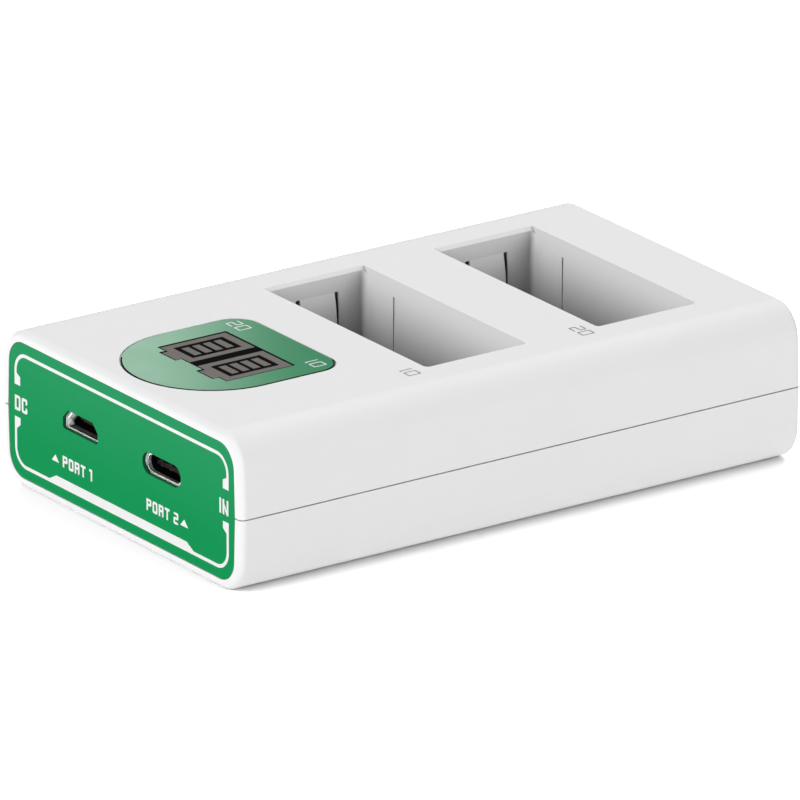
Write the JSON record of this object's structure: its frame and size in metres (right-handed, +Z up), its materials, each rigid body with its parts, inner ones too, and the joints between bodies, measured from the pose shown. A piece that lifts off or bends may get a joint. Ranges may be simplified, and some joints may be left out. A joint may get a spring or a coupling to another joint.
{
  "type": "camera battery charger",
  "caption": "Flat white battery charger with open battery bays in its top, a green port panel with micro-B and USB-C sockets on the front, and a green status window with battery-level display.",
  "frame": {"origin": "middle of the flat base", "axes": "+X to the right seen from the port panel, +Y from the port panel to the back along the longest side, +Z up out of the bays"},
  "size_m": [0.06, 0.0966, 0.0235],
  "materials": {
    "white_shell": "fine moulded satin",
    "green_panel": "printed satin sheet",
    "green_film": "satin film",
    "display_black": "matt black",
    "display_grey": "frosted, unlit",
    "port_steel": "drawn and plated",
    "port_black": "moulded",
    "board_laminate": "glass-fibre laminate",
    "lamp_white": "clear over phosphor",
    "pin_tin": "tinned",
    "chip_black": "moulded resin",
    "ferrite": "sintered",
    "ceramic_tan": "fired ceramic",
    "contact_gold": "gold-plated",
    "screw_steel": "zinc-plated",
    "white_print": "screen-printed ink",
    "grey_print": "screen-printed ink"
  },
  "bodies": {
    "root": {"upper_shell": "white_shell", "lower_shell": "white_shell", "port_panel": "green_panel", "status_window": "green_film", "display_housing": "display_black", "frame_light_guides": "display_grey", "bar_light_guides": "display_grey", "display_board": "board_laminate", "status_leds": "lamp_white", "display_pins": "pin_tin", "usb_c_shell": "port_steel", "usb_c_tongue": "port_black", "usb_c_contacts": "contact_gold", "micro_b_shell": "port_steel", "micro_b_tongue": "port_black", "micro_b_contacts": "contact_gold", "main_board": "board_laminate", "charge_chips": "chip_black", "control_chip": "chip_black", "power_inductors": "ferrite", "board_capacitors": "ceramic_tan", "board_resistors": "chip_black", "contact_board": "board_laminate", "bay_1_contacts": "contact_gold", "bay_2_contacts": "contact_gold", "link_header": "chip_black", "link_pins": "pin_tin", "board_screws": "screw_steel"}
  },
  "joints": []
}
